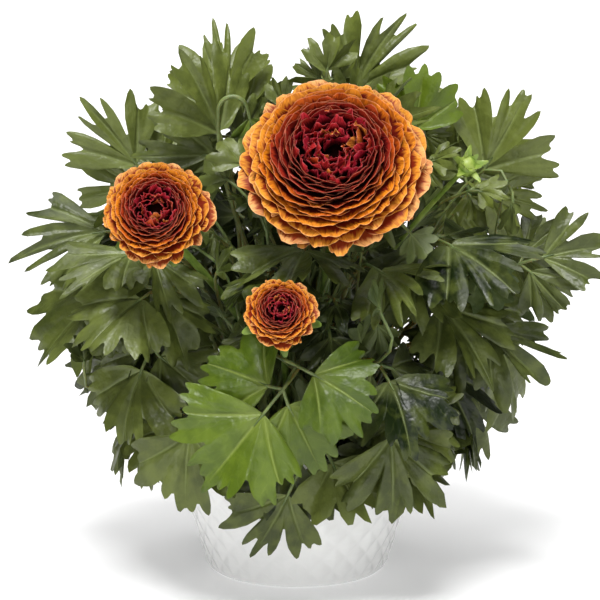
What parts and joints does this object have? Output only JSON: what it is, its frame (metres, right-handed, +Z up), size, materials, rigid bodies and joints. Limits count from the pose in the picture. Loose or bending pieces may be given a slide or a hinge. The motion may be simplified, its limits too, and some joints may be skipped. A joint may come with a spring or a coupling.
{
  "type": "potted ranunculus",
  "caption": "Double ranunculus with orange blooms, ragged burgundy hearts and a dome of cut leaves in a low white faceted ceramic pot.",
  "frame": {"origin": "centre of the pot's flat underside", "axes": "+Z up, -Y towards the front where the blooms face, +X to the viewer's right"},
  "size_m": [0.3027, 0.261, 0.2811],
  "materials": {
    "pot": "glossy white glaze",
    "soil": "rough damp potting mix",
    "petals": "satin petal",
    "heart": "satin petal",
    "stem": "satin green stem",
    "bud": "satin green bud",
    "leaf": "satin leaf"
  },
  "bodies": {
    "root": {"bloom_large_heart": "heart", "bloom_large_petals": "petals", "bloom_large_stem": "stem", "bloom_medium_heart": "heart", "bloom_medium_petals": "petals", "bloom_medium_stem": "stem", "bloom_small_heart": "heart", "bloom_small_petals": "petals", "bloom_small_stem": "stem", "bud": "bud", "leaf_01": "leaf", "leaf_02": "leaf", "leaf_03": "leaf", "leaf_04": "leaf", "leaf_05": "leaf", "leaf_06": "leaf", "leaf_07": "leaf", "leaf_08": "leaf", "leaf_09": "leaf", "leaf_10": "leaf", "leaf_11": "leaf", "leaf_12": "leaf", "leaf_13": "leaf", "leaf_14": "leaf", "leaf_15": "leaf", "leaf_16": "leaf", "leaf_17": "leaf", "leaf_18": "leaf", "leaf_19": "leaf", "leaf_20": "leaf", "leaf_21": "leaf", "leaf_22": "leaf", "leaf_23": "leaf", "leaf_24": "leaf", "leaf_25": "leaf", "leaf_26": "leaf", "leaf_27": "leaf", "leaf_28": "leaf", "leaf_29": "leaf", "leaf_30": "leaf", "leaf_31": "leaf", "leaf_32": "leaf", "leaf_33": "leaf", "leaf_34": "leaf", "leaf_35": "leaf", "leaf_36": "leaf", "leaf_37": "leaf", "leaf_front_1": "leaf", "leaf_front_10": "leaf", "leaf_front_2": "leaf", "leaf_front_3": "leaf", "leaf_front_4": "leaf", "leaf_front_5": "leaf", "leaf_front_6": "leaf", "leaf_front_7": "leaf", "leaf_front_8": "leaf", "leaf_front_9": "leaf", "leaf_hooked": "leaf", "pot": "pot", "potting_soil": "soil"}
  },
  "joints": []
}
